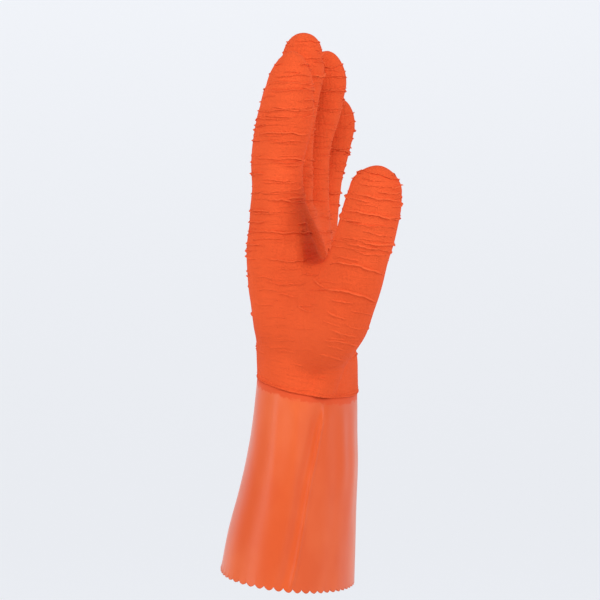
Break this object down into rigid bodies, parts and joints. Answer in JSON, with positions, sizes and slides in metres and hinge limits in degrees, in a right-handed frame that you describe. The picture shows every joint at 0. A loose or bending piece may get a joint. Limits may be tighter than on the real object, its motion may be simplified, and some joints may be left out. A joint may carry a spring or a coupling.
{
  "type": "chemical-resistant glove",
  "caption": "Long orange rubber glove for the left hand in its worn shape, with a crinkled matte grip on the hand and fingers and a smooth flared cuff with a pinked hem",
  "frame": {"origin": "centre of the cuff's mouth, in the mean plane of the hem", "axes": "+Z from the hem to the fingertips, +Y out of the back of the hand, -Y out of the palm, -X toward the thumb's side and +X toward the little finger"},
  "size_m": [0.1092, 0.1123, 0.3029],
  "materials": {
    "crinkled_rubber": "matte crinkled natural rubber",
    "smooth_rubber": "smooth semi-gloss natural rubber"
  },
  "bodies": {
    "root": {"hand_coat": "crinkled_rubber", "index_finger": "crinkled_rubber", "middle_finger": "crinkled_rubber", "ring_finger": "crinkled_rubber", "little_finger": "crinkled_rubber", "cuff": "smooth_rubber"}
  },
  "joints": []
}
